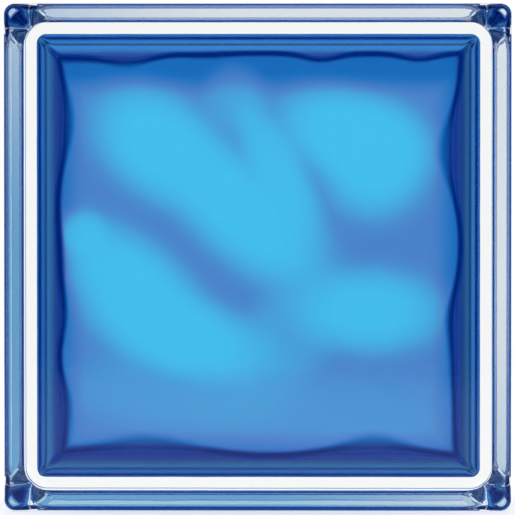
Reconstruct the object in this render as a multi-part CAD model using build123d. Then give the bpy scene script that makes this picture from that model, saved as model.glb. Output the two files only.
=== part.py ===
from build123d import *
import math
import os

# A hollow wall block of pressed glass. Two pressed halves are fused at the middle of the
# depth into one body: flat faces outside, a wavy relief on the inside of each face, and a
# channel round the sides that keys the block into the mortar.
# X runs across the block, Y through its depth with the front face towards -Y, Z up.
# The origin lies under the middle of the block, on the surface it stands on.

# Overall size, millimetres
BLOCK_WIDTH = 190.0
BLOCK_HEIGHT = 190.0
BLOCK_DEPTH = 80.0

# Lips: the solid rims round the two faces
LIP_WIDTH = 17.0
LIP_CORNER_RADIUS = 4.0
FACE_EDGE_RADIUS = 2.6
LIP_BACK_BEVEL = 1.0

# Mortar channel between the lips
CHANNEL_DEPTH = 7.0
CHANNEL_ROOT_RADIUS = 1.8

# Cones that stiffen the corners behind each lip
CONE_INSET = 9.0
CONE_DEPTH = 8.0

# Low ridge of the fused seam in the bottom of the channel
SEAM_WIDTH = 5.0
SEAM_HEIGHT = 0.8
SEAM_RADIUS = 3.0

# Hollow of one half, from the seam towards the face
SIDE_WALL = 4.0
HOLLOW_CORNER_RADIUS = 3.5
HOLLOW_DRAFT_ANGLE = 3.0
COVE_RADIUS = 18.0
COVE_TOP_WALL = 5.5
COVE_END_ANGLE = 84.0

# Wavy relief: scoops press the thick face down to its thin wall
THICK_WALL = 9.7
THIN_WALL = 6.0
RELIEF_POINTS = 61
RELIEF_TOLERANCE = 0.03


class Scoop:
    """One soft oblong scoop of the relief, placed by shares of the hollow's size."""

    def __init__(self, place_shares, half_size_shares, angle, depth_share):
        self.place_shares = place_shares
        self.half_size_shares = half_size_shares
        self.angle = math.radians(angle)
        self.depth_share = depth_share

    def left_share(self, x, z):
        """Share of the thick wall's relief that this scoop leaves standing at a point."""
        across = x - self.place_shares[0] * hollow_width()
        up = z - self.place_shares[1] * hollow_height()
        along = across * math.cos(self.angle) + up * math.sin(self.angle)
        aside = up * math.cos(self.angle) - across * math.sin(self.angle)
        along_share = along / (self.half_size_shares[0] * hollow_width())
        aside_share = aside / (self.half_size_shares[1] * hollow_height())
        return 1 - self.depth_share * math.exp(-(along_share**2) - aside_share**2)


# Seen from the front: across and up from the middle, half length and half width, turn in
# degrees anticlockwise from level, and depth. The first seven lie in the field of the face,
# the others at its left, upper and right borders.
SCOOPS = [
    Scoop((-0.18, 0.20), (0.23, 0.11), -44, 1.0),
    Scoop((0.03, 0.19), (0.25, 0.06), -57, 0.7),
    Scoop((0.27, 0.25), (0.22, 0.12), -8, 1.0),
    Scoop((-0.22, -0.10), (0.27, 0.10), -33, 1.0),
    Scoop((0.30, -0.13), (0.24, 0.10), -4, 0.9),
    Scoop((-0.25, -0.42), (0.24, 0.12), -3, 1.0),
    Scoop((0.26, -0.42), (0.18, 0.12), 3, 1.0),
    Scoop((-0.47, 0.30), (0.15, 0.14), 0, 1.0),
    Scoop((-0.46, -0.13), (0.09, 0.09), 0, 0.8),
    Scoop((-0.46, -0.33), (0.10, 0.09), 0, 0.9),
    Scoop((-0.29, 0.47), (0.07, 0.10), 0, 0.8),
    Scoop((0.14, 0.47), (0.05, 0.09), 0, 0.6),
    Scoop((0.36, 0.47), (0.05, 0.08), 0, 0.6),
    Scoop((0.47, 0.24), (0.12, 0.11), 0, 1.0),
    Scoop((0.47, -0.25), (0.08, 0.14), 0, 0.7),
]


def hollow_width():
    """Width of the hollow at the seam."""
    return BLOCK_WIDTH - 2 * (CHANNEL_DEPTH + SIDE_WALL)


def hollow_height():
    """Height of the hollow at the seam."""
    return BLOCK_HEIGHT - 2 * (CHANNEL_DEPTH + SIDE_WALL)


def neck_corner_radius():
    """Radius of the channel bottom's corners, which keeps the side wall even round the hollow."""
    return HOLLOW_CORNER_RADIUS + SIDE_WALL


def outline(inset, corner_radius, depth):
    """Rounded outline of the block, drawn in by inset, at a depth in front of the seam."""
    plane = Plane((0, -depth, BLOCK_HEIGHT / 2), x_dir=(1, 0, 0), z_dir=(0, -1, 0))
    return plane * RectangleRounded(BLOCK_WIDTH - 2 * inset, BLOCK_HEIGHT - 2 * inset, corner_radius)


def edges_at(body, depth, inset=0):
    """Edges of a body at a depth in front of the seam, and no nearer to the block's sides than inset."""
    edges = ShapeList()
    for edge in body.edges():
        box = edge.bounding_box()
        off_depth = max(abs(box.min.Y + depth), abs(box.max.Y + depth))
        from_side = BLOCK_WIDTH / 2 - abs(edge.center().X)
        from_end = BLOCK_HEIGHT / 2 - abs(edge.center().Z - BLOCK_HEIGHT / 2)
        if off_depth < RELIEF_TOLERANCE and min(from_side, from_end) > inset - RELIEF_TOLERANCE:
            edges.append(edge)
    return edges


def outer_half():
    """Front half of the outside: lip with softened edges, channel bottom and corner cones."""
    half_depth = BLOCK_DEPTH / 2
    lip_back = half_depth - LIP_WIDTH
    lip = extrude(outline(0, LIP_CORNER_RADIUS, lip_back), LIP_WIDTH)
    lip = fillet(edges_at(lip, half_depth), FACE_EDGE_RADIUS)
    lip = chamfer(edges_at(lip, lip_back), LIP_BACK_BEVEL)
    neck = extrude(outline(CHANNEL_DEPTH, neck_corner_radius(), 0), lip_back)
    half = lip + neck
    half = fillet(edges_at(half, lip_back, CHANNEL_DEPTH), CHANNEL_ROOT_RADIUS)
    return half + corner_cones(lip_back)


def corner_cones(lip_back):
    """One cone behind each corner of a lip, pointing at the seam and clear of the lip's bevel."""
    radius = CONE_INSET - LIP_BACK_BEVEL
    cone = Cone(radius, 0, CONE_DEPTH, align=(Align.CENTER, Align.CENTER, Align.MIN))
    places = GridLocations(BLOCK_WIDTH - 2 * CONE_INSET, BLOCK_HEIGHT - 2 * CONE_INSET, 2, 2)
    plane = Plane((0, -lip_back, BLOCK_HEIGHT / 2), x_dir=(1, 0, 0), z_dir=(0, 1, 0))
    return [plane * place * cone for place in places]


def seam_ridge():
    """Low rounded ridge of the fused joint, all round the channel bottom."""
    foot = outline(CHANNEL_DEPTH, neck_corner_radius(), SEAM_WIDTH / 2)
    crown = outline(CHANNEL_DEPTH - SEAM_HEIGHT, neck_corner_radius() + SEAM_HEIGHT, 0)
    front = loft([crown, foot], ruled=True)
    ridge = front + mirror(front, about=Plane.XZ)
    return fillet(edges_at(ridge, 0), SEAM_RADIUS)


def cove_profile(width):
    """Section of the hollow's front half: drafted walls that turn over in a cove to a flat top."""
    draft_angle = math.radians(HOLLOW_DRAFT_ANGLE)
    wall_end = BLOCK_DEPTH / 2 - COVE_TOP_WALL - COVE_RADIUS * (1 - math.sin(draft_angle))
    foot = width / 2
    spring = foot - wall_end * math.tan(draft_angle)
    centre = (spring - COVE_RADIUS * math.cos(draft_angle), wall_end - COVE_RADIUS * math.sin(draft_angle))
    wall = Line((foot, 0), (spring, wall_end))
    cove = CenterArc(centre, COVE_RADIUS, HOLLOW_DRAFT_ANGLE, COVE_END_ANGLE - HOLLOW_DRAFT_ANGLE)
    top = Line(cove @ 1, (0, (cove @ 1).Y))
    side = wall + cove + top
    floor = Line((foot, 0), (-foot, 0))
    return make_face(side + mirror(side, about=Plane.YZ) + floor)


def hollow_blank():
    """Front half of the hollow before the relief: two crossed coves with rounded wall corners."""
    middle = (0, 0, BLOCK_HEIGHT / 2)
    across = Plane(middle, x_dir=(1, 0, 0), z_dir=(0, 0, -1)) * cove_profile(hollow_width())
    upright = Plane(middle, x_dir=(0, 0, 1), z_dir=(1, 0, 0)) * cove_profile(hollow_height())
    across_cove = extrude(across, hollow_height(), both=True)
    upright_cove = extrude(upright, hollow_width(), both=True)
    foot = outline(CHANNEL_DEPTH + SIDE_WALL, HOLLOW_CORNER_RADIUS, 0)
    column = extrude(foot, BLOCK_DEPTH / 2 - COVE_TOP_WALL)
    walls = column.faces().filter_by(Plane.XZ, reverse=True)
    return across_cove & upright_cove & draft(walls, Plane.XZ, HOLLOW_DRAFT_ANGLE)


def face_wall(x, z):
    """Thickness of the face at a point, measured from the middle of the hollow."""
    left_share = math.prod(scoop.left_share(x, z) for scoop in SCOOPS)
    return THIN_WALL + (THICK_WALL - THIN_WALL) * left_share


def relief():
    """Everything behind the wavy inner face of the front half, down past the seam."""
    shares = [number / (RELIEF_POINTS - 1) - 1 / 2 for number in range(RELIEF_POINTS)]
    rows = []
    for up_share in shares:
        z = up_share * (hollow_height() + 2 * SIDE_WALL)
        row = []
        for across_share in shares:
            x = across_share * (hollow_width() + 2 * SIDE_WALL)
            row.append(Vector(x, face_wall(x, z) - BLOCK_DEPTH / 2, z + BLOCK_HEIGHT / 2))
        rows.append(row)
    face = Face.make_surface_from_array_of_points(rows, tol=RELIEF_TOLERANCE, min_deg=3, max_deg=3)
    return extrude(face, BLOCK_DEPTH, dir=(0, 1, 0))


def glass_block():
    """The whole block: both halves fused, with the sealed hollow inside."""
    turn = Rot(0, 0, 180)
    half = outer_half()
    hollow_half = hollow_blank() & relief()
    outside = half + turn * half + seam_ridge()
    hollow = hollow_half + turn * hollow_half
    return outside - hollow


os.makedirs("parts", exist_ok=True)
export_step(glass_block(), "parts/glass_block.step")
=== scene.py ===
"""Hollow wall block of pressed glass, dressed for a studio picture.

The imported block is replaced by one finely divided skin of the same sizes: the clear outside and
the blue-coated walls of the sealed hollow, each a surface over two parameters.
"""

import logging
import math
from dataclasses import dataclass, field
from enum import Enum

import bpy
import numpy as np
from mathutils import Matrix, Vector


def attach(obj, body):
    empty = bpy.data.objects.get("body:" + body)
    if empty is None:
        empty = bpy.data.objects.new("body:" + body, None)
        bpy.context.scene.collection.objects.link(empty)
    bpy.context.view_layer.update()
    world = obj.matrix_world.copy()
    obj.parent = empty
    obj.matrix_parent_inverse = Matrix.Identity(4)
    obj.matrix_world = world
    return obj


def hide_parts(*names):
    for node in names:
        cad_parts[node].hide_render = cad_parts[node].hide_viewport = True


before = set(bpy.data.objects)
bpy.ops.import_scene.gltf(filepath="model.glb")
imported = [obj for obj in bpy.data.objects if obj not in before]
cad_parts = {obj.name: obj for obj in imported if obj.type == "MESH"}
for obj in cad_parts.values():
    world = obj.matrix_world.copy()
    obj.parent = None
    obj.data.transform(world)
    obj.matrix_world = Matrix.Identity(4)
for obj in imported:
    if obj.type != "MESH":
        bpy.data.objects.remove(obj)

LOG = logging.getLogger("glass_block")
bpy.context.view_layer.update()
FINISH = "finish"
HAIR = 1e-9
MIX_FROM = 6
MIX_TO = 7
MIX_RESULT = 2
WHITE = (1.0, 1.0, 1.0, 1.0)

Colour = tuple[float, float, float, float]
Place = tuple[float, float, float]


class Slot(Enum):
    """Places of the finishes on the block's skin."""

    CLEAR = 0
    COAT = 1


class CoatDepth(Enum):
    """Depths of the blue coat, as stops between the barest and the fullest."""

    BARE = 0.0
    FULL = 0.4
    COVE = 0.7
    CREASE = 1.0


def ease(share: np.ndarray) -> np.ndarray:
    """Eases a share from 0 to 1 with level ends."""
    share = np.clip(share, 0.0, 1.0)
    return share * share * (3.0 - 2.0 * share)


@dataclass(frozen=True)
class Oval:
    """One soft oval of a pattern on a face.

    Attributes:
        place: Middle of the oval, as shares of the hollow's width and height.
        half_size: Half length and half width, as shares of the same.
        turn: Turn from level, in degrees, anticlockwise from the front.
        amount: How far it takes effect, 0 to 1.
    """

    place: tuple[float, float]
    half_size: tuple[float, float]
    turn: float
    amount: float

    def left(self, x: np.ndarray, z: np.ndarray, span: float, edge: float) -> np.ndarray:
        """What the oval leaves of a full layer: one less a hill that falls away at its half sizes.

        Args:
            x: Places across the hollow, from its middle, in metres.
            z: Places up the hollow, from its middle, in metres.
            span: Width of the hollow, in metres.
            edge: Power that makes the hill flatter and its edge harder, 1 for a round hill.

        Returns:
            Shares from 0 to 1, in the shape of x.
        """
        turn = math.radians(self.turn)
        across, up = x - self.place[0] * span, z - self.place[1] * span
        along = (across * math.cos(turn) + up * math.sin(turn)) / (self.half_size[0] * span)
        aside = (up * math.cos(turn) - across * math.sin(turn)) / (self.half_size[1] * span)
        return 1.0 - self.amount * np.exp(-((along**2 + aside**2) ** edge))


SCOOPS: tuple[Oval, ...] = (
    Oval((-0.18, 0.20), (0.23, 0.11), -44, 1.0),
    Oval((0.03, 0.19), (0.25, 0.06), -57, 0.7),
    Oval((0.27, 0.25), (0.22, 0.12), -8, 1.0),
    Oval((-0.22, -0.10), (0.27, 0.10), -33, 1.0),
    Oval((0.30, -0.13), (0.24, 0.10), -4, 0.9),
    Oval((-0.25, -0.42), (0.24, 0.12), -3, 1.0),
    Oval((0.26, -0.42), (0.18, 0.12), 3, 1.0),
    Oval((-0.47, 0.30), (0.15, 0.14), 0, 1.0),
    Oval((-0.46, -0.13), (0.09, 0.09), 0, 0.8),
    Oval((-0.46, -0.33), (0.10, 0.09), 0, 0.9),
    Oval((-0.29, 0.47), (0.07, 0.10), 0, 0.8),
    Oval((0.14, 0.47), (0.05, 0.09), 0, 0.6),
    Oval((0.36, 0.47), (0.05, 0.08), 0, 0.6),
    Oval((0.47, 0.24), (0.12, 0.11), 0, 1.0),
    Oval((0.47, -0.25), (0.08, 0.14), 0, 0.7),
)

BARE_PATCHES: tuple[Oval, ...] = (
    Oval((-0.22, 0.25), (0.165, 0.115), -38, 1.0),
    Oval((-0.03, 0.10), (0.24, 0.11), -42, 1.0),
    Oval((0.045, 0.20), (0.165, 0.055), -60, 0.9),
    Oval((-0.05, 0.355), (0.075, 0.07), -75, 0.42),
    Oval((0.20, 0.275), (0.165, 0.10), -16, 1.0),
    Oval((0.265, 0.215), (0.13, 0.12), 60, 1.0),
    Oval((-0.275, -0.07), (0.20, 0.105), -40, 1.0),
    Oval((-0.385, 0.05), (0.055, 0.05), -40, 0.8),
    Oval((-0.17, -0.175), (0.205, 0.09), -16, 1.0),
    Oval((0.25, -0.12), (0.165, 0.095), -2, 0.95),
    Oval((0.07, -0.17), (0.10, 0.10), 0, 0.4),
    Oval((-0.17, -0.29), (0.26, 0.10), 0, 0.3),
    Oval((0.19, -0.36), (0.32, 0.10), 0, 0.2),
)


@dataclass(frozen=True)
class Relief:
    """Wavy inner face with its coat.

    Attributes:
        span: Width of the hollow at the seam.
        thick: Wall of the face where no scoop lies.
        thin: Wall of the face in a full scoop.
        patch_edge: Hardness of the edges of the coat's bare patches.
        scoops: The scoops that press the face, seen from the front.
        patches: The patches where the coat has thinned out, seen from the front.
    """

    span: float
    thick: float = 0.0097
    thin: float = 0.0060
    patch_edge: float = 2.2
    scoops: tuple[Oval, ...] = SCOOPS
    patches: tuple[Oval, ...] = BARE_PATCHES

    def wall(self, x: np.ndarray, z: np.ndarray) -> np.ndarray:
        """Thickness of the face: the thin wall plus what every scoop in turn leaves of the rest."""
        left = math.prod(scoop.left(x, z, self.span, 1.0) for scoop in self.scoops)
        return self.thin + (self.thick - self.thin) * left

    def coat(self, x: np.ndarray, z: np.ndarray) -> np.ndarray:
        """Depth of the coat, from 1 for a full coat down to what the bare patches leave of it."""
        return math.prod(patch.left(x, z, self.span, self.patch_edge) for patch in self.patches)


@dataclass(frozen=True)
class Loop:
    """Closed loop of points that every ring of the skin shares.

    A ring is a rounded square. Its point is the corner centre scaled by the square's straight part
    plus the corner radius along a fixed direction, so rings of any size match point for point.

    Attributes:
        count: Points along one side of the square grid that closes a ring.
        corner_share: Share of half a side whose points turn round a corner.
        easing: Share of the half width over which the grid's squares round off.
    """

    count: int = 101
    corner_share: float = 0.11
    easing: float = 0.3

    def grid(self) -> tuple[np.ndarray, np.ndarray]:
        """Places of the square grid, from -1 to 1 across and up."""
        steps = np.linspace(-1.0, 1.0, self.count)
        return np.meshgrid(steps, steps, indexing="xy")

    def border(self) -> np.ndarray:
        """Indices of the grid's outermost points, anticlockwise from the lower left."""
        n = self.count
        index = np.arange(n * n).reshape(n, n)
        return np.concatenate([index[0, :-1], index[:-1, -1], index[-1, :0:-1], index[:0:-1, 0]])

    def rounded(self, u: np.ndarray, v: np.ndarray, half: np.ndarray | float,
                radius: np.ndarray | float) -> tuple[np.ndarray, np.ndarray]:
        """Points of a rounded square for points of a plain square's border.

        Args:
            u: Places across on the border of the square from -1 to 1.
            v: Places up on the same border.
            half: Half the width of the rounded square.
            radius: Radius of its corners.

        Returns:
            Places across and up on the rounded square.
        """
        flat = 1.0 - self.corner_share
        lean_u = np.clip((np.abs(u) - flat) / self.corner_share, 0.0, 1.0)
        lean_v = np.clip((np.abs(v) - flat) / self.corner_share, 0.0, 1.0)
        angle = np.where(np.abs(u) >= np.abs(v), lean_v, 2.0 - lean_u) * math.pi / 4.0
        side_u = np.clip(np.abs(u) / flat, 0.0, 1.0)
        side_v = np.clip(np.abs(v) / flat, 0.0, 1.0)
        x = side_u * (half - radius) + radius * np.cos(angle) * np.where(side_u < 1.0, 0.0, 1.0)
        z = side_v * (half - radius) + radius * np.sin(angle) * np.where(side_v < 1.0, 0.0, 1.0)
        return np.sign(u) * x, np.sign(v) * z

    def ring(self, half: np.ndarray, radius: np.ndarray) -> tuple[np.ndarray, np.ndarray]:
        """Rings of given half widths and corner radii, one row of points for each."""
        u, v = (part.ravel()[self.border()] for part in self.grid())
        return self.rounded(u[None, :], v[None, :], half[:, None], radius[:, None])

    def patch(self, half: float, radius: float) -> tuple[np.ndarray, np.ndarray]:
        """Square grid that fills a ring: plain squares in the middle that round off towards the ring.

        Args:
            half: Half the width of the ring.
            radius: Radius of its corners.

        Returns:
            Places across and up, each a square array.
        """
        u, v = self.grid()
        reach = np.maximum(np.abs(u), np.abs(v))
        safe = np.where(reach == 0.0, 1.0, reach)
        x, z = self.rounded(u / safe, v / safe, half, radius)
        blend = ease((reach - 1.0 + self.easing) / self.easing)
        return u * half * (1 - blend) + x * reach * blend, v * half * (1 - blend) + z * reach * blend


@dataclass
class Skin:
    """Vertices and faces of a mesh that grows patch by patch.

    Attributes:
        points: Places of the vertices.
        finishes: Share of the finish at each vertex: the depth of the coat on the walls of the
        hollow, the share of the blue painted shadow in the channel, and 0 where the glass is polished.
        faces: Rows of vertex indices.
        slots: Place of the finish of each face.
        total: Number of vertices so far.
    """

    points: list[np.ndarray] = field(default_factory=list)
    finishes: list[np.ndarray] = field(default_factory=list)
    faces: list[np.ndarray] = field(default_factory=list)
    slots: list[np.ndarray] = field(default_factory=list)
    total: int = 0

    def add(self, points: np.ndarray, finish: np.ndarray) -> np.ndarray:
        """Adds points with their share of the finish.

        Args:
            points: The points, in an array of any shape with three numbers a point.
            finish: Share of the finish at the points.

        Returns:
            Indices of the points, in the same shape.
        """
        shape = points.shape[:-1]
        self.points.append(points.reshape(-1, 3))
        self.finishes.append(np.broadcast_to(finish, shape).reshape(-1))
        indices = self.total + np.arange(int(np.prod(shape))).reshape(shape)
        self.total += indices.size
        return indices

    def strip(self, rings: np.ndarray, slot: Slot) -> None:
        """Joins each ring of indices to the next one with a closed band of four-sided faces."""
        here, there = rings[:-1], rings[1:]
        after, beyond = np.roll(here, -1, axis=1), np.roll(there, -1, axis=1)
        self.keep(np.stack([here, after, beyond, there], axis=-1).reshape(-1, 4), slot)

    def sheet(self, grid: np.ndarray, slot: Slot, turned: bool) -> None:
        """Fills a square grid of indices with four-sided faces, turned over if asked."""
        corners = [grid[:-1, :-1], grid[:-1, 1:], grid[1:, 1:], grid[1:, :-1]]
        faces = np.stack(corners, axis=-1).reshape(-1, 4)
        self.keep(faces[:, ::-1] if turned else faces, slot)

    def keep(self, faces: np.ndarray, slot: Slot) -> None:
        """Stores rows of indices as faces, with the slot of their finish."""
        self.faces.append(faces)
        self.slots.append(np.full(len(faces), slot.value, dtype=np.int32))

    def mesh(self, name: str) -> bpy.types.Mesh:
        """Makes the smooth Blender mesh, with the share of the finish as an attribute."""
        mesh = bpy.data.meshes.new(name)
        points = np.concatenate(self.points)
        corners = np.concatenate([faces.ravel() for faces in self.faces])
        sizes = np.concatenate([np.full(len(faces), faces.shape[1]) for faces in self.faces])
        mesh.vertices.add(len(points))
        mesh.vertices.foreach_set("co", points.astype(np.float32).ravel())
        mesh.loops.add(len(corners))
        mesh.loops.foreach_set("vertex_index", corners.astype(np.int32))
        mesh.polygons.add(len(sizes))
        mesh.polygons.foreach_set("loop_start", (np.cumsum(sizes) - sizes).astype(np.int32))
        mesh.polygons.foreach_set("material_index", np.concatenate(self.slots))
        mesh.polygons.foreach_set("use_smooth", np.ones(len(sizes), dtype=bool))
        finish = mesh.attributes.new(FINISH, "FLOAT", "POINT")
        finish.data.foreach_set("value", np.concatenate(self.finishes).astype(np.float32))
        mesh.update()
        mesh.validate()
        return mesh


@dataclass(frozen=True)
class Bend:
    """One corner of a section outline, rounded off.

    Attributes:
        inset: Distance in from the block's side.
        depth: Distance in front of the seam.
        radius: Radius of the rounding, or zero for a sharp corner.
        steps: Number of steps along the rounding.
    """

    inset: float
    depth: float
    radius: float = 0.0
    steps: int = 8

    def arc(self, before: "Bend", after: "Bend") -> np.ndarray:
        """Points of the rounding between two straight runs, tangent to both.

        Args:
            before: The corner before this one.
            after: The corner after it.

        Returns:
            Rows of inset and depth.
        """
        here = np.array([self.inset, self.depth])
        if self.radius == 0.0:
            return here[None, :]
        back = np.array([before.inset, before.depth]) - here
        on = np.array([after.inset, after.depth]) - here
        back, on = back / np.linalg.norm(back), on / np.linalg.norm(on)
        half = math.acos(float(np.clip(back @ on, -1.0, 1.0))) / 2.0
        middle = (back + on) / np.linalg.norm(back + on)
        centre = here + middle * self.radius / math.sin(half)
        turn = math.pi / 2.0 - half
        side = on - (on @ middle) * middle
        side = side / np.linalg.norm(side)
        angles = np.linspace(-turn, turn, self.steps + 1)[:, None]
        return centre + self.radius * (-np.cos(angles) * middle + np.sin(angles) * side)


@dataclass
class GlassBlock:
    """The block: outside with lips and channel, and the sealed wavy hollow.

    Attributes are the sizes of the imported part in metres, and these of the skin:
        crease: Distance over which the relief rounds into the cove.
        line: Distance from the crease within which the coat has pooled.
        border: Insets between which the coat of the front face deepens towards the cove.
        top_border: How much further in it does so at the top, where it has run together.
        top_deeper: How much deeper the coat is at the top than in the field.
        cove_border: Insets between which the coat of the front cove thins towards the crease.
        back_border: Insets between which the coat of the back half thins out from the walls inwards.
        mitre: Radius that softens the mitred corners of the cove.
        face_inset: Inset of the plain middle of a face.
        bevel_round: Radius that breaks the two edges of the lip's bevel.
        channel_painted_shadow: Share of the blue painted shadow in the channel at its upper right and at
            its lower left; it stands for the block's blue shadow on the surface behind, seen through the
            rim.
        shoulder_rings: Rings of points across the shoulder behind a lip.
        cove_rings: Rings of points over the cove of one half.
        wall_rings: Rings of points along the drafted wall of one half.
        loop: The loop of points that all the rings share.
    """

    width: float = 0.190
    depth: float = 0.080
    lip_width: float = 0.017
    lip_corner: float = 0.004
    face_edge: float = 0.0026
    lip_bevel: float = 0.0010
    channel: float = 0.007
    channel_root: float = 0.0018
    cone_inset: float = 0.009
    cone_depth: float = 0.0080
    seam_width: float = 0.005
    seam_height: float = 0.0008
    seam_round: float = 0.003
    side_wall: float = 0.0040
    hollow_corner: float = 0.0035
    draft: float = math.radians(3.0)
    cove: float = 0.018
    cove_top_wall: float = 0.0055
    cove_end: float = math.radians(84.0)
    crease: float = 0.0012
    line: float = 0.0009
    border: tuple[float, float] = (0.020, 0.031)
    top_border: float = 0.005
    top_deeper: float = 0.36
    cove_border: tuple[float, float] = (0.0178, 0.0198)
    back_border: tuple[float, float] = (0.0135, 0.0185)
    mitre: float = 0.0020
    face_inset: float = 0.012
    bevel_round: float = 0.0002
    channel_painted_shadow: tuple[float, float] = (0.2, 1.0)
    shoulder_rings: int = 13
    cove_rings: int = 54
    wall_rings: int = 4
    loop: Loop = field(default_factory=Loop)

    def build(self) -> bpy.types.Object:
        """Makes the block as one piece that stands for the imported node.

        Returns:
            The new object, riding on the block's body.
        """
        skin = Skin()
        self._outside(skin)
        self._hollow(skin)
        block = bpy.data.objects.new("block_skin", skin.mesh("block_skin"))
        bpy.context.scene.collection.objects.link(block)
        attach(block, "root")
        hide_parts("glass_block")
        return block

    def _outside(self, skin: Skin) -> None:
        """Adds the outside: the rounded section of lip, shoulder and channel carried round the sides.

        Args:
            skin: The skin that grows.
        """
        lip_end = self.depth / 2.0 - self.lip_width
        section = self._section()
        inset, depth = section[:, 0], section[:, 1]
        neck = self.hollow_corner + self.side_wall
        shallow = self.lip_corner + (neck - self.lip_corner) * np.clip(inset / self.channel, 0.0, 1.0)
        on_face = np.abs(depth) > self.depth / 2.0 - self.face_edge - HAIR
        radius = np.where(on_face, np.maximum(self.lip_corner - inset, self.mitre), shallow)
        x, z = self.loop.ring(self.width / 2.0 - inset, radius)
        behind_lip = np.abs(depth)[:, None] < lip_end + HAIR
        level = np.abs(depth)[:, None]
        level = np.where(behind_lip, np.minimum(level, self._cones(x, z)), level)
        points = np.stack([x, -level * np.sign(depth)[:, None], z + self.width / 2.0], axis=-1)
        # Painted shadow: the channel's glass is tinted blue, deepest at the lower left, for the block's
        # blue shadow on the surface behind it.
        thin, thick = self.channel_painted_shadow
        painted_shadow = thin + (thick - thin) * ease(0.5 - (x + z) / self.width)
        rings = skin.add(points, np.where(behind_lip, painted_shadow, 0.0))
        skin.strip(rings[:, ::-1], Slot.CLEAR)
        skin.keep(rings[:1], Slot.CLEAR)
        skin.keep(rings[-1:, ::-1], Slot.CLEAR)

    def _cones(self, x: np.ndarray, z: np.ndarray) -> np.ndarray:
        """Distance from the seam of the cones that stiffen the corners behind the lips."""
        axis = self.width / 2.0 - self.cone_inset
        away = np.hypot(np.abs(x) - axis, np.abs(z) - axis) / (self.cone_inset - self.lip_bevel)
        return self.depth / 2.0 - self.lip_width - self.cone_depth * np.maximum(1.0 - away, 0.0)

    def _section(self) -> np.ndarray:
        """Section of the outside from the front face to the back face, as rows of inset and depth."""
        half_depth = self.depth / 2.0
        lip_end = half_depth - self.lip_width
        shoulder = np.linspace(self.lip_bevel, self.channel - self.channel_root, self.shoulder_rings)[1:-1]
        corners = [
            Bend(self.face_inset, half_depth),
            Bend(0.0, half_depth, self.face_edge),
            Bend(0.0, lip_end + self.lip_bevel, self.bevel_round, steps=2),
            Bend(self.lip_bevel, lip_end, self.bevel_round, steps=2),
            *(Bend(float(inset), lip_end) for inset in shoulder),
            Bend(self.channel, lip_end, self.channel_root, steps=6),
            Bend(self.channel, self.seam_width / 2.0),
            Bend(self.channel - self.seam_height, 0.0, self.seam_round),
            Bend(self.channel, -self.seam_width / 2.0),
        ]
        arcs = [corners[k].arc(corners[k - 1], corners[k + 1]) for k in range(1, len(corners) - 1)]
        half = np.concatenate(arcs)
        half = np.concatenate([[[self.face_inset, half_depth]], half[half[:, 1] >= -HAIR]])
        return np.concatenate([half, half[-2::-1] * np.array([1.0, -1.0])])

    def _hollow(self, skin: Skin) -> None:
        """Adds the walls of the hollow, front field to back field, facing into the hollow.

        Args:
            skin: The skin that grows.
        """
        inset, depth, radius = self._cove()
        x, z = self.loop.ring(self.width / 2.0 - inset, radius)
        height = np.broadcast_to(depth[:, None], x.shape)
        front, front_coat = self._lay(x, z, height, 1.0)
        back, back_coat = self._lay(x, z, height, -1.0)
        rise = z + self.width / 2.0
        points = np.concatenate([np.stack([x, -front, rise], axis=-1),
                                 np.stack([x, back, rise], axis=-1)[-2::-1]])
        rings = skin.add(points, np.concatenate([front_coat, back_coat[-2::-1]]))
        skin.strip(rings, Slot.COAT)
        x, z = self.loop.patch(self.width / 2.0 - inset[0], radius[0])
        for side, ring in ((1.0, rings[0]), (-1.0, rings[-1])):
            level, coat = self._lay(x, z, self._rise(x, z, inset[0], depth[0]), side)
            points = np.stack([x, -side * level, z + self.width / 2.0], axis=-1)
            self._fill(skin, points, coat, ring, side > 0.0)

    def _fill(self, skin: Skin, points: np.ndarray, coat: np.ndarray, ring: np.ndarray,
              turned: bool) -> None:
        """Adds a square grid whose outermost points are those of a ring that is already there.

        Args:
            skin: The skin that grows.
            points: Points of the grid.
            coat: Depth of coat at the points.
            ring: Indices of the ring's points.
            turned: Whether the faces are turned over.
        """
        n = self.loop.count
        grid = np.full(n * n, -1, dtype=np.int64)
        grid[self.loop.border()] = ring
        inner = grid < 0
        grid[inner] = skin.add(points.reshape(-1, 3)[inner], coat.reshape(-1)[inner])
        skin.sheet(grid.reshape(n, n), Slot.COAT, turned)

    def _cove(self) -> tuple[np.ndarray, np.ndarray, np.ndarray]:
        """Section of one half of the hollow, from the field over the cove and down the drafted wall.

        Returns:
            Insets, distances from the seam and corner radii of the rings.
        """
        top = self.depth / 2.0 - self.cove_top_wall
        wall_end = top - self.cove * (1.0 - math.sin(self.draft))
        seam_inset = self.channel + self.side_wall
        cove_inset = seam_inset + wall_end * math.tan(self.draft)
        angle = np.linspace(self.cove_end, self.draft, self.cove_rings)
        inset = cove_inset + self.cove * (math.cos(self.draft) - np.cos(angle))
        depth = wall_end + self.cove * (np.sin(angle) - math.sin(self.draft))
        share = np.linspace(1.0, 0.0, self.wall_rings)[1:]
        wall_inset = seam_inset + share * wall_end * math.tan(self.draft)
        spring = self.hollow_corner - wall_end * math.tan(self.draft)
        turned_in = (inset - cove_inset) / (spring * (1.0 - math.sqrt(0.5)))
        radius = np.concatenate([np.maximum(spring * (1.0 - turned_in), self.mitre),
                                 self.hollow_corner - share * wall_end * math.tan(self.draft)])
        return np.concatenate([inset, wall_inset]), np.concatenate([depth, share * wall_end]), radius

    def _rise(self, x: np.ndarray, z: np.ndarray, inset: float, depth: float) -> np.ndarray:
        """Carries the cove on over the field, sloping on from its end, so that it clears the relief."""
        further = self.width / 2.0 - inset - np.maximum(np.abs(x), np.abs(z))
        return depth + further / math.tan(self.cove_end)

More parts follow.
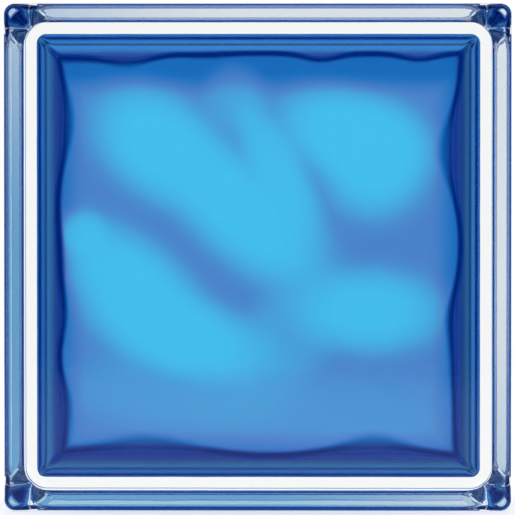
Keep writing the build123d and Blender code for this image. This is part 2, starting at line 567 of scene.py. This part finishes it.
    def _lay(self, x: np.ndarray, z: np.ndarray, cove: np.ndarray,
             side: float) -> tuple[np.ndarray, np.ndarray]:
        """Lays the hollow's skin: the lower of cove and relief, with the crease between them rounded.

        Args:
            x: Places across, from the middle.
            z: Places up, from the middle.
            cove: Distance of the cove from the seam there.
            side: 1 for the front half, -1 for the back half, which is the front one turned round.

        Returns:
            Distances of the skin from the seam, and the depth of coat there.
        """
        relief = Relief(self.width - 2.0 * (self.channel + self.side_wall))
        gap = cove - (self.depth / 2.0 - relief.wall(side * x, z))
        near = np.maximum(self.crease - np.abs(gap), 0.0)
        level = cove - np.maximum(gap, 0.0) - near * near / self.crease / 4.0
        inset = self.width / 2.0 - np.maximum(np.abs(x), np.abs(z))
        below = self.width / 2.0 - z - self.top_border
        sides = 1.0 - ease((inset - self.border[0]) / (self.border[1] - self.border[0]))
        top = 1.0 - ease((below - self.border[0]) / (self.border[1] - self.border[0]))
        if side < 0.0:
            thinned = ease((inset - self.back_border[0]) / (self.back_border[1] - self.back_border[0]))
            return level, CoatDepth.COVE.value * (1.0 - thinned)
        deeper = CoatDepth.COVE.value - CoatDepth.FULL.value
        full = CoatDepth.FULL.value + np.maximum(deeper * sides, self.top_deeper * top)
        coat = full * relief.coat(x, z)
        thinner = ease((inset - self.cove_border[0]) / (self.cove_border[1] - self.cove_border[0]))
        in_cove = CoatDepth.COVE.value - deeper / 2.0 * thinner
        coat = coat + (in_cove - coat) * ease(0.5 - gap / self.crease)
        pooled = ease(1.0 - np.abs(gap) / self.line)
        return level, coat + (CoatDepth.CREASE.value - coat) * pooled


@dataclass(frozen=True)
class Tree:
    """Node tree that grows node by node.

    Attributes:
        tree: The Blender node tree.
    """

    tree: bpy.types.NodeTree

    def add(self, kind: str, sockets: dict[str | int, object] | None = None,
            **settings: object) -> bpy.types.Node:
        """Adds a node.

        Args:
            kind: Blender's name of the node type, without its common prefix.
            sockets: For each input, a constant or the output that is joined to it.
            **settings: Settings of the node itself.

        Returns:
            The new node.
        """
        node = self.tree.nodes.new(kind if kind.startswith("Node") else f"ShaderNode{kind}")
        for name, value in settings.items():
            setattr(node, name, value)
        for key, value in (sockets or {}).items():
            if isinstance(value, bpy.types.NodeSocket):
                self.tree.links.new(value, node.inputs[key])
            else:
                node.inputs[key].default_value = value
        return node

    @classmethod
    def of(cls, owner: bpy.types.Material | bpy.types.World) -> "Tree":
        """Empties the node tree of a material or world, ready to grow."""
        owner.use_nodes = True
        owner.node_tree.nodes.clear()
        return cls(owner.node_tree)


@dataclass(frozen=True)
class Unevenness:
    """Node group of the faint unevenness that pressing leaves in glass.

    Attributes:
        swell_scale: Swells per metre.
        swell_detail: Octaves of the swells.
        grain_scale: Grains per metre.
        grain_detail: Octaves of the grain.
        height: Height of the swells, in metres.
    """

    swell_scale: float = 70.0
    swell_detail: float = 1.0
    grain_scale: float = 900.0
    grain_detail: float = 3.0
    height: float = 0.00005

    def make(self) -> bpy.types.NodeTree:
        """Makes the group, which gives a normal and a share of dullness from 0 to 1."""
        group = bpy.data.node_groups.new("unevenness", "ShaderNodeTree")
        group.interface.new_socket("Normal", in_out="OUTPUT", socket_type="NodeSocketVector")
        group.interface.new_socket("Dullness", in_out="OUTPUT", socket_type="NodeSocketFloat")
        tree = Tree(group)
        coord = tree.add("TexCoord")
        swell = tree.add("TexNoise", {"Vector": coord.outputs["Object"], "Scale": self.swell_scale,
                                      "Detail": self.swell_detail})
        grain = tree.add("TexNoise", {"Vector": coord.outputs["Object"], "Scale": self.grain_scale,
                                      "Detail": self.grain_detail})
        bump = tree.add("Bump", {"Strength": 1.0, "Distance": self.height, "Height": swell.outputs["Fac"]})
        dull = tree.add("Math", {0: swell.outputs["Fac"], 1: grain.outputs["Fac"]}, operation="MULTIPLY")
        tree.add("NodeGroupOutput", {"Normal": bump.outputs["Normal"], "Dullness": dull.outputs["Value"]})
        return group


@dataclass(frozen=True)
class ClearGlass:
    """Fire-polished clear glass of the outside, with a blue painted shadow in the channel.

    Attributes:
        tint: Colour of the light that passes the faces and lips.
        painted_shadow_tint: Blue painted into the channel's glass where it is deepest: painted shadow that
            stands for the block's blue shadow seen through the rim.
        shadow: Colour of the light that casts its shadow.
        ior: Index of refraction.
        dullest: Roughness where the polish is poorest.
    """

    tint: Colour = (0.985, 0.995, 0.992, 1.0)
    painted_shadow_tint: Colour = (0.16, 0.40, 0.68, 1.0)
    shadow: Colour = (0.94, 0.96, 0.96, 1.0)
    ior: float = 1.52
    dullest: float = 0.03

    def make(self, unevenness: bpy.types.NodeTree) -> bpy.types.Material:
        """Makes the material.

        Args:
            unevenness: The group of the glass's unevenness.

        Returns:
            The new material.
        """
        material = bpy.data.materials.new("clear_glass")
        tree = Tree.of(material)
        uneven = tree.add("Group", node_tree=unevenness)
        rough = tree.add("Math", {0: uneven.outputs["Dullness"], 1: self.dullest}, operation="MULTIPLY")
        # On the outside the finish attribute carries the share of the blue painted shadow in the channel.
        painted_shadow = tree.add("Attribute", attribute_name=FINISH)
        colour = tree.add("Mix", {"Factor": painted_shadow.outputs["Fac"], MIX_FROM: self.tint,
                                  MIX_TO: self.painted_shadow_tint}, data_type="RGBA")
        glass = tree.add("BsdfPrincipled", {
            "Base Color": colour.outputs[MIX_RESULT], "Roughness": rough.outputs["Value"], "IOR": self.ior,
            "Transmission Weight": 1.0, "Normal": uneven.outputs["Normal"]})
        path = tree.add("LightPath")
        clear = tree.add("BsdfTransparent", {"Color": self.shadow})
        mix = tree.add("MixShader", {0: path.outputs["Is Shadow Ray"], 1: glass.outputs["BSDF"],
                                     2: clear.outputs["BSDF"]})
        tree.add("OutputMaterial", {"Surface": mix.outputs["Shader"]})
        return material


@dataclass(frozen=True)
class BlueCoat:
    """Translucent blue coat on the walls of the hollow.

    Attributes:
        colours: Colour of light through or off the coat at each of its depths.
        ior: Index of refraction of the glass behind it.
        smoothest: Roughness where the coat is smoothest.
        dullest: What is added to the roughness where it is dullest.
    """

    colours: tuple[tuple[CoatDepth, Colour], ...] = (
        (CoatDepth.BARE, (0.264, 0.784, 0.99, 1.0)),
        (CoatDepth.FULL, (0.32, 0.34, 0.70, 1.0)),
        (CoatDepth.COVE, (0.052, 0.245, 0.62, 1.0)),
        (CoatDepth.CREASE, (0.015, 0.14, 0.42, 1.0)),
    )
    ior: float = 1.52
    smoothest: float = 0.18
    dullest: float = 0.12

    def make(self, unevenness: bpy.types.NodeTree) -> bpy.types.Material:
        """Makes the material.

        Args:
            unevenness: The group of the glass's unevenness.

        Returns:
            The new material.
        """
        material = bpy.data.materials.new("blue_coat")
        tree = Tree.of(material)
        coat = tree.add("Attribute", attribute_name=FINISH)
        colour = tree.add("ValToRGB", {"Fac": coat.outputs["Fac"]})
        stops = colour.color_ramp.elements
        for depth, shade in self.colours[1:-1]:
            stops.new(depth.value)
        for stop, (depth, shade) in zip(stops, self.colours):
            stop.position, stop.color = depth.value, shade
        uneven = tree.add("Group", node_tree=unevenness)
        rough = tree.add("Math", {0: uneven.outputs["Dullness"], 1: self.dullest, 2: self.smoothest},
                         operation="MULTIPLY_ADD")
        glass = tree.add("BsdfGlass", {
            "Color": colour.outputs["Color"], "Roughness": rough.outputs["Value"],
            "IOR": self.ior, "Normal": uneven.outputs["Normal"]})
        path = tree.add("LightPath")
        clear = tree.add("BsdfTransparent", {"Color": colour.outputs["Color"]})
        mix = tree.add("MixShader", {0: path.outputs["Is Shadow Ray"], 1: glass.outputs["BSDF"],
                                     2: clear.outputs["BSDF"]})
        tree.add("OutputMaterial", {"Surface": mix.outputs["Shader"]})
        return material


@dataclass(frozen=True)
class Softbox:
    """Square soft light that looks at the block.

    Attributes:
        name: Name of the light.
        place: Where it hangs.
        size: Length of its side.
        power: Power, in watts.
    """

    name: str
    place: Place
    size: float
    power: float

    def hang(self, target: Vector) -> None:
        """Hangs the light so that it looks at a target."""
        data = bpy.data.lights.new(self.name, "AREA")
        data.shape = "SQUARE"
        data.size = self.size
        data.energy = self.power
        lamp = bpy.data.objects.new(self.name, data)
        bpy.context.scene.collection.objects.link(lamp)
        lamp.location = self.place
        lamp.rotation_euler = (target - Vector(self.place)).to_track_quat("-Z", "Y").to_euler()


@dataclass
class Studio:
    """Pale floor, white surroundings, soft lights and the camera.

    Attributes:
        distance: Distance of the camera from the front face.
        frame_half: Half the width of the picture, at the front face.
        middle: Middle of the front face.
        aside: How far the camera stands to the right of the middle and above it.
        bright_side: Direction of the bright side of the room.
        room: Colour of the room on its dark and on its bright side.
        room_lean: How far a direction leans to the bright side where the room is dark and where bright.
        outside_share: Share of the room's brightness that the block's outside mirrors.
        floor_size: Length of the floor's side.
        floor_colour: Colour of the floor.
        floor_rough: Roughness of the floor.
        floor_drop: Gap under the block that keeps the floor clear of its underside.
        floor_fade: Distances between which the floor fades into the surroundings.
        floor_glow: What the camera sees added to the floor, so that it is nearly white.
        softboxes: The soft lights.
        bounces: How often light may bounce in all and pass through glass.
        glossy_bounces: How often it may be mirrored.
        sensor: Width of the camera's sensor, in millimetres.
        view_end: Distance at which the camera's view ends.
    """

    distance: float = 2.0
    frame_half: float = 0.0963
    middle: Place = (0.0, -0.04, 0.095)
    aside: Place = (0.025, 0.0, 0.05)
    bright_side: Place = (-0.12, 0.99, 0.0)
    room: tuple[Colour, Colour] = ((0.012, 0.05, 0.17, 1.0), WHITE)
    room_lean: tuple[float, float] = (-0.8, 0.9)
    outside_share: float = 0.15
    floor_size: float = 6.0
    floor_colour: Colour = (0.82, 0.82, 0.82, 1.0)
    floor_rough: float = 0.8
    floor_drop: float = 0.0003
    floor_fade: tuple[float, float] = (0.45, 1.6)
    floor_glow: float = 0.6
    softboxes: tuple[Softbox, ...] = (
        Softbox("ceiling", (0.0, 0.0, 2.2), 2.6, 9.0),
    )
    bounces: int = 32
    glossy_bounces: int = 16
    sensor: float = 36.0
    view_end: float = 100.0

    def build(self) -> None:
        """Sets up the stage."""
        scene = bpy.context.scene
        scene.view_settings.view_transform = "Standard"
        scene.cycles.max_bounces = self.bounces
        scene.cycles.transmission_bounces = self.bounces
        scene.cycles.glossy_bounces = self.glossy_bounces
        scene.cycles.transparent_max_bounces = self.bounces
        self._world()
        self._floor()
        for softbox in self.softboxes:
            softbox.hang(Vector(self.middle))
        self._camera()

    def _world(self) -> None:
        """Sets the surroundings: white where looked at or through, the room in reflections."""
        world = bpy.data.worlds.new("studio")
        bpy.context.scene.world = world
        tree = Tree.of(world)
        coord = tree.add("TexCoord")
        bright_side = Vector(self.bright_side).normalized()
        lean = tree.add("VectorMath", {0: coord.outputs["Generated"], 1: bright_side},
                        operation="DOT_PRODUCT")
        bright = tree.add("MapRange", {"Value": lean.outputs["Value"], "From Min": self.room_lean[0],
                                       "From Max": self.room_lean[1]}, interpolation_type="SMOOTHSTEP")
        room = tree.add("Mix", {"Factor": bright.outputs["Result"], MIX_FROM: self.room[0],
                                MIX_TO: self.room[1]}, data_type="RGBA")
        path = tree.add("LightPath")
        straight = tree.add("Math", {0: path.outputs["Glossy Depth"], 1: 0.5}, operation="LESS_THAN")
        through = tree.add("Math", {0: straight.outputs["Value"], 1: path.outputs["Is Transmission Ray"]},
                           operation="MULTIPLY")
        seen = tree.add("Math", {0: through.outputs["Value"], 1: path.outputs["Is Camera Ray"]},
                        operation="MAXIMUM")
        within = tree.add("Math", {0: path.outputs["Transmission Depth"],
                                   1: path.outputs["Is Diffuse Ray"]}, operation="ADD")
        share = tree.add("MapRange", {"Value": within.outputs["Value"], "To Min": self.outside_share})
        mirrored = tree.add("VectorMath", {0: room.outputs[MIX_RESULT], "Scale": share.outputs["Result"]},
                            operation="SCALE")
        colour = tree.add("Mix", {"Factor": seen.outputs["Value"], MIX_FROM: mirrored.outputs["Vector"],
                                  MIX_TO: WHITE}, data_type="RGBA")
        back = tree.add("Background", {"Color": colour.outputs[MIX_RESULT], "Strength": 1.0})
        tree.add("OutputWorld", {"Surface": back.outputs["Background"]})

    def _floor(self) -> None:
        """Lays the pale floor, which fades into the surroundings and isn't seen through the glass."""
        bpy.ops.mesh.primitive_plane_add(size=self.floor_size, location=(0.0, 0.0, -self.floor_drop))
        floor = bpy.context.object
        floor.name = "floor"
        material = bpy.data.materials.new("floor")
        tree = Tree.of(material)
        path = tree.add("LightPath")
        glow = tree.add("Math", {0: path.outputs["Is Camera Ray"], 1: self.floor_glow},
                        operation="MULTIPLY")
        shade = tree.add("BsdfPrincipled", {
            "Base Color": self.floor_colour, "Roughness": self.floor_rough,
            "Emission Color": WHITE, "Emission Strength": glow.outputs["Value"]})
        coord = tree.add("TexCoord")
        away = tree.add("VectorMath", {0: coord.outputs["Object"]}, operation="LENGTH")
        fade = tree.add("MapRange", {"Value": away.outputs["Value"], "From Min": self.floor_fade[0],
                                     "From Max": self.floor_fade[1]}, interpolation_type="SMOOTHSTEP")
        gone = tree.add("Math", {0: fade.outputs["Result"], 1: path.outputs["Is Transmission Ray"]},
                        operation="MAXIMUM")
        clear = tree.add("BsdfTransparent")
        mix = tree.add("MixShader", {0: gone.outputs["Value"], 1: shade.outputs["BSDF"],
                                     2: clear.outputs["BSDF"]})
        tree.add("OutputMaterial", {"Surface": mix.outputs["Shader"]})
        floor.data.materials.append(material)

    def _camera(self) -> None:
        """Sets the camera before the front face, a little up and to the right, aimed at its middle."""
        data = bpy.data.cameras.new("camera")
        camera = bpy.data.objects.new("camera", data)
        bpy.context.scene.collection.objects.link(camera)
        camera.location = Vector(self.middle) + Vector((0.0, -self.distance, 0.0)) + Vector(self.aside)
        look = Vector(self.middle) - camera.location
        camera.rotation_euler = look.to_track_quat("-Z", "Y").to_euler()
        data.sensor_width = self.sensor
        data.lens = data.sensor_width / 2.0 * self.distance / self.frame_half
        data.clip_end = self.view_end
        bpy.context.scene.camera = camera


def main() -> None:
    """Builds the block and its stage."""
    logging.basicConfig(level=logging.INFO)
    block = GlassBlock().build()
    unevenness = Unevenness().make()
    block.data.materials.append(ClearGlass().make(unevenness))
    block.data.materials.append(BlueCoat().make(unevenness))
    block.data.calc_loop_triangles()
    LOG.info("block: %d vertices, %d triangles", len(block.data.vertices), len(block.data.loop_triangles))
    Studio().build()


if __name__ == "__main__":
    main()
